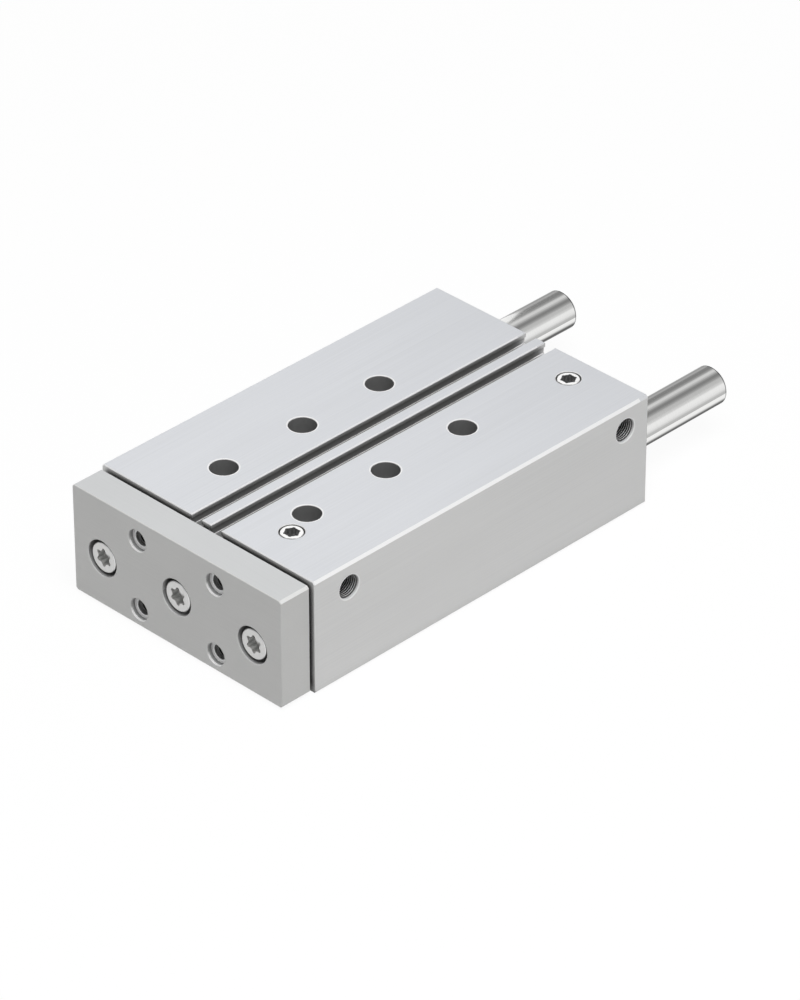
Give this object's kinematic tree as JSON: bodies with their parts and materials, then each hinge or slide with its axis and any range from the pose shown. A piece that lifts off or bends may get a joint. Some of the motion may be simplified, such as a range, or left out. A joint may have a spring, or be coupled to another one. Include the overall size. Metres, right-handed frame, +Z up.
{
  "type": "guided pneumatic cylinder",
  "caption": "Flat compact pneumatic cylinder with a yoke plate on a piston rod and two guide rods, sensor slots on top and side supply ports.",
  "frame": {"origin": "centre of the base hole pattern, on the bottom face of the housing", "axes": "+X across the housing towards the supply ports, +Y along the rods from the yoke plate to the rear, +Z up from the base to the slotted top"},
  "size_m": [0.11, 0.2434, 0.048],
  "materials": {
    "anodised_housing": "natural anodised extrusion, satin",
    "anodised_yoke": "natural anodised plate, satin",
    "turned_aluminium": "turned",
    "ground_rod": "hardened, ground and polished",
    "plated_screw": "bright zinc plated",
    "nickel_plug": "nickel plated, bright",
    "spring_steel": "phosphated",
    "bush_bronze": "sintered",
    "nitrile_seal": "matt",
    "polyurethane": "satin",
    "guide_ring_plastic": "matt",
    "ring_magnet": "moulded"
  },
  "bodies": {
    "housing_body": {"housing": "anodised_housing", "front_end_cap": "turned_aluminium", "front_cap_oring": "nitrile_seal", "rod_bush": "bush_bronze", "rod_seal": "polyurethane", "front_retaining_ring": "spring_steel", "front_bumper": "polyurethane", "rear_end_cap": "turned_aluminium", "rear_cap_oring": "nitrile_seal", "rear_retaining_ring": "spring_steel", "rear_bumper": "polyurethane", "guide_bush_front_left": "bush_bronze", "guide_bush_front_right": "bush_bronze", "guide_bush_rear_left": "bush_bronze", "guide_bush_rear_right": "bush_bronze", "guide_wiper_left": "polyurethane", "guide_wiper_right": "polyurethane", "port_plug_front": "nickel_plug", "port_plug_rear": "nickel_plug"},
    "carriage": {"yoke_plate": "anodised_yoke", "yoke_screw_left": "plated_screw", "yoke_screw_centre": "plated_screw", "yoke_screw_right": "plated_screw", "guide_rod_left": "ground_rod", "guide_rod_right": "ground_rod", "piston_rod": "ground_rod", "piston_front_half": "turned_aluminium", "piston_rear_half": "turned_aluminium", "piston_magnet": "ring_magnet", "piston_guide_ring": "guide_ring_plastic", "piston_seal_front": "nitrile_seal", "piston_seal_rear": "nitrile_seal", "piston_nut": "plated_screw"}
  },
  "joints": [
    {"name": "stroke", "type": "slide", "parent": "housing_body", "child": "carriage", "axis": [0, -1, 0], "range_m": [0, 0.125]}
  ]
}
